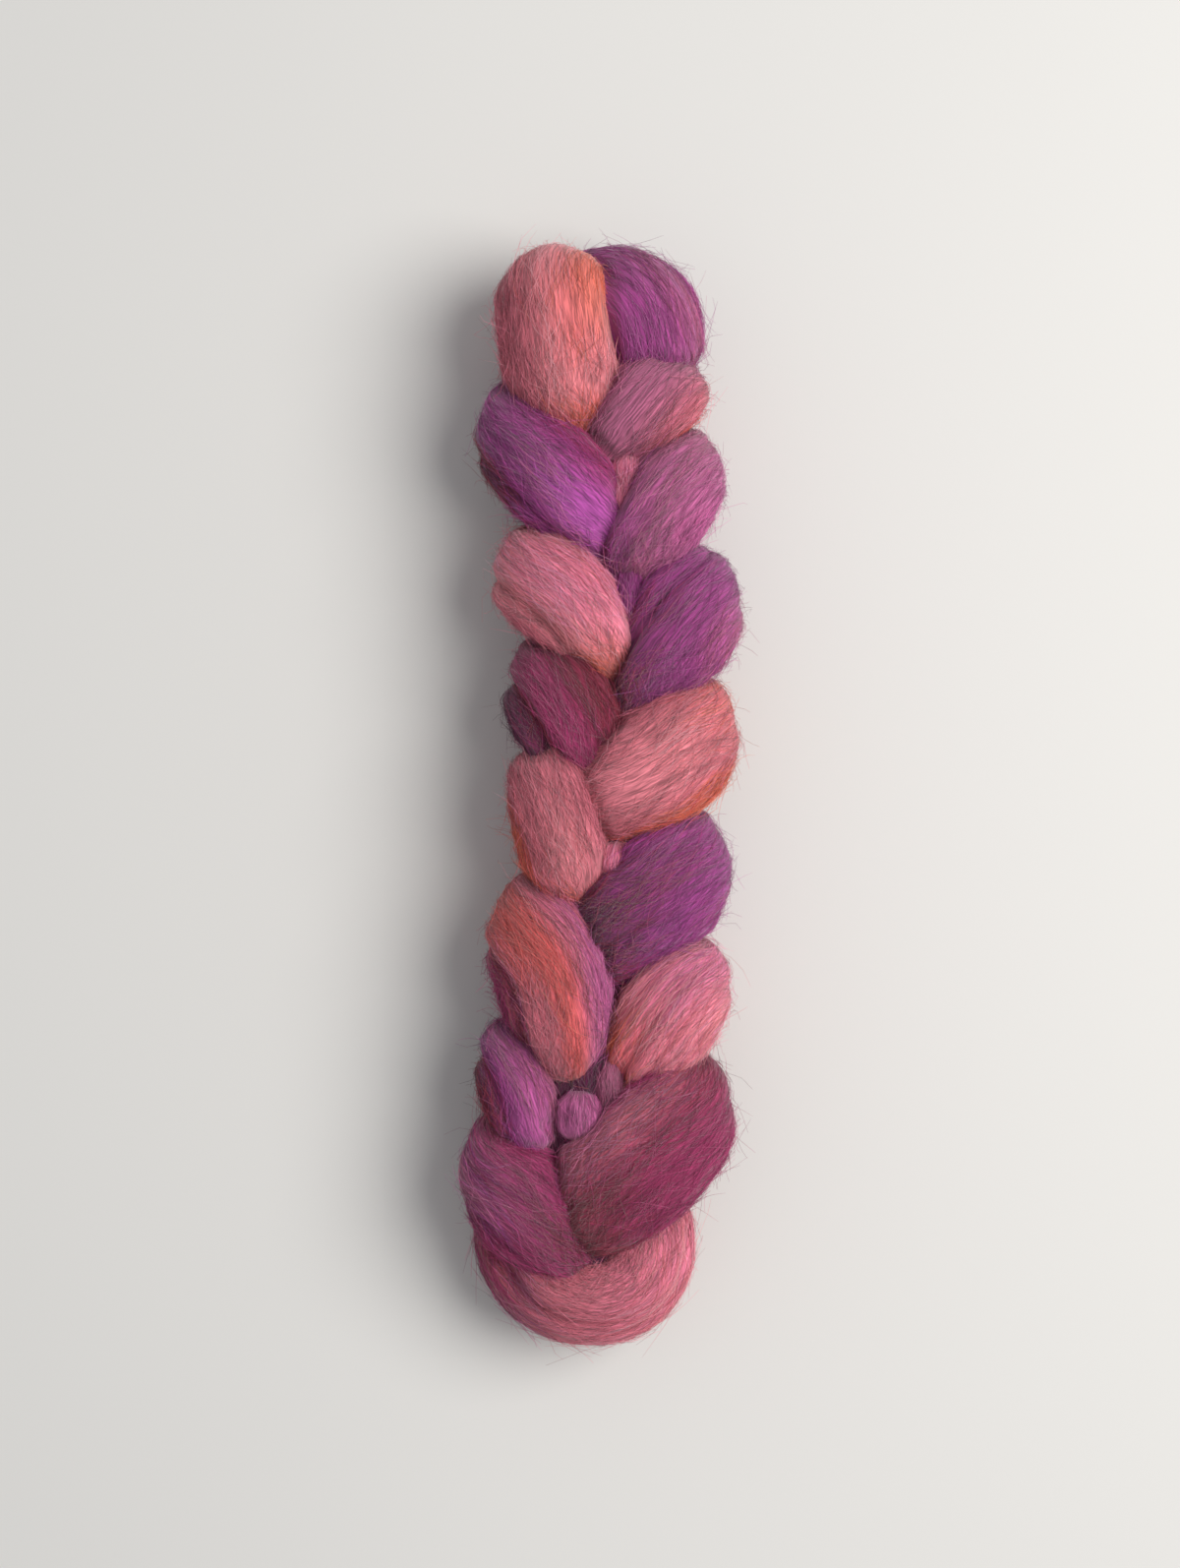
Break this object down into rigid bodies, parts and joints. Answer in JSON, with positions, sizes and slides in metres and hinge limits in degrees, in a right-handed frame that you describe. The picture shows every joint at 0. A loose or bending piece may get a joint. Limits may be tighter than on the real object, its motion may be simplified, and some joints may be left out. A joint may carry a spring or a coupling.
{
  "type": "braid of wool roving",
  "caption": "Soft braid of dyed wool roving, one combed strand hand-chained into plump interlocking loops, rounded at both ends, for storing and showing spinning fibre",
  "frame": {"origin": "on the surface the braid lies on, under the middle of its bounding box", "axes": "+Y along the braid towards its first loops, +X across it to the right when the pointed faces are seen from above with +Y up, +Z up"},
  "size_m": [0.0768, 0.2988, 0.0473],
  "materials": {
    "dyed_wool": "matte, fuzzy combed wool dyed from violet and plum to dusty pink and coral"
  },
  "bodies": {
    "root": {"roving_braid": "dyed_wool"}
  },
  "joints": []
}
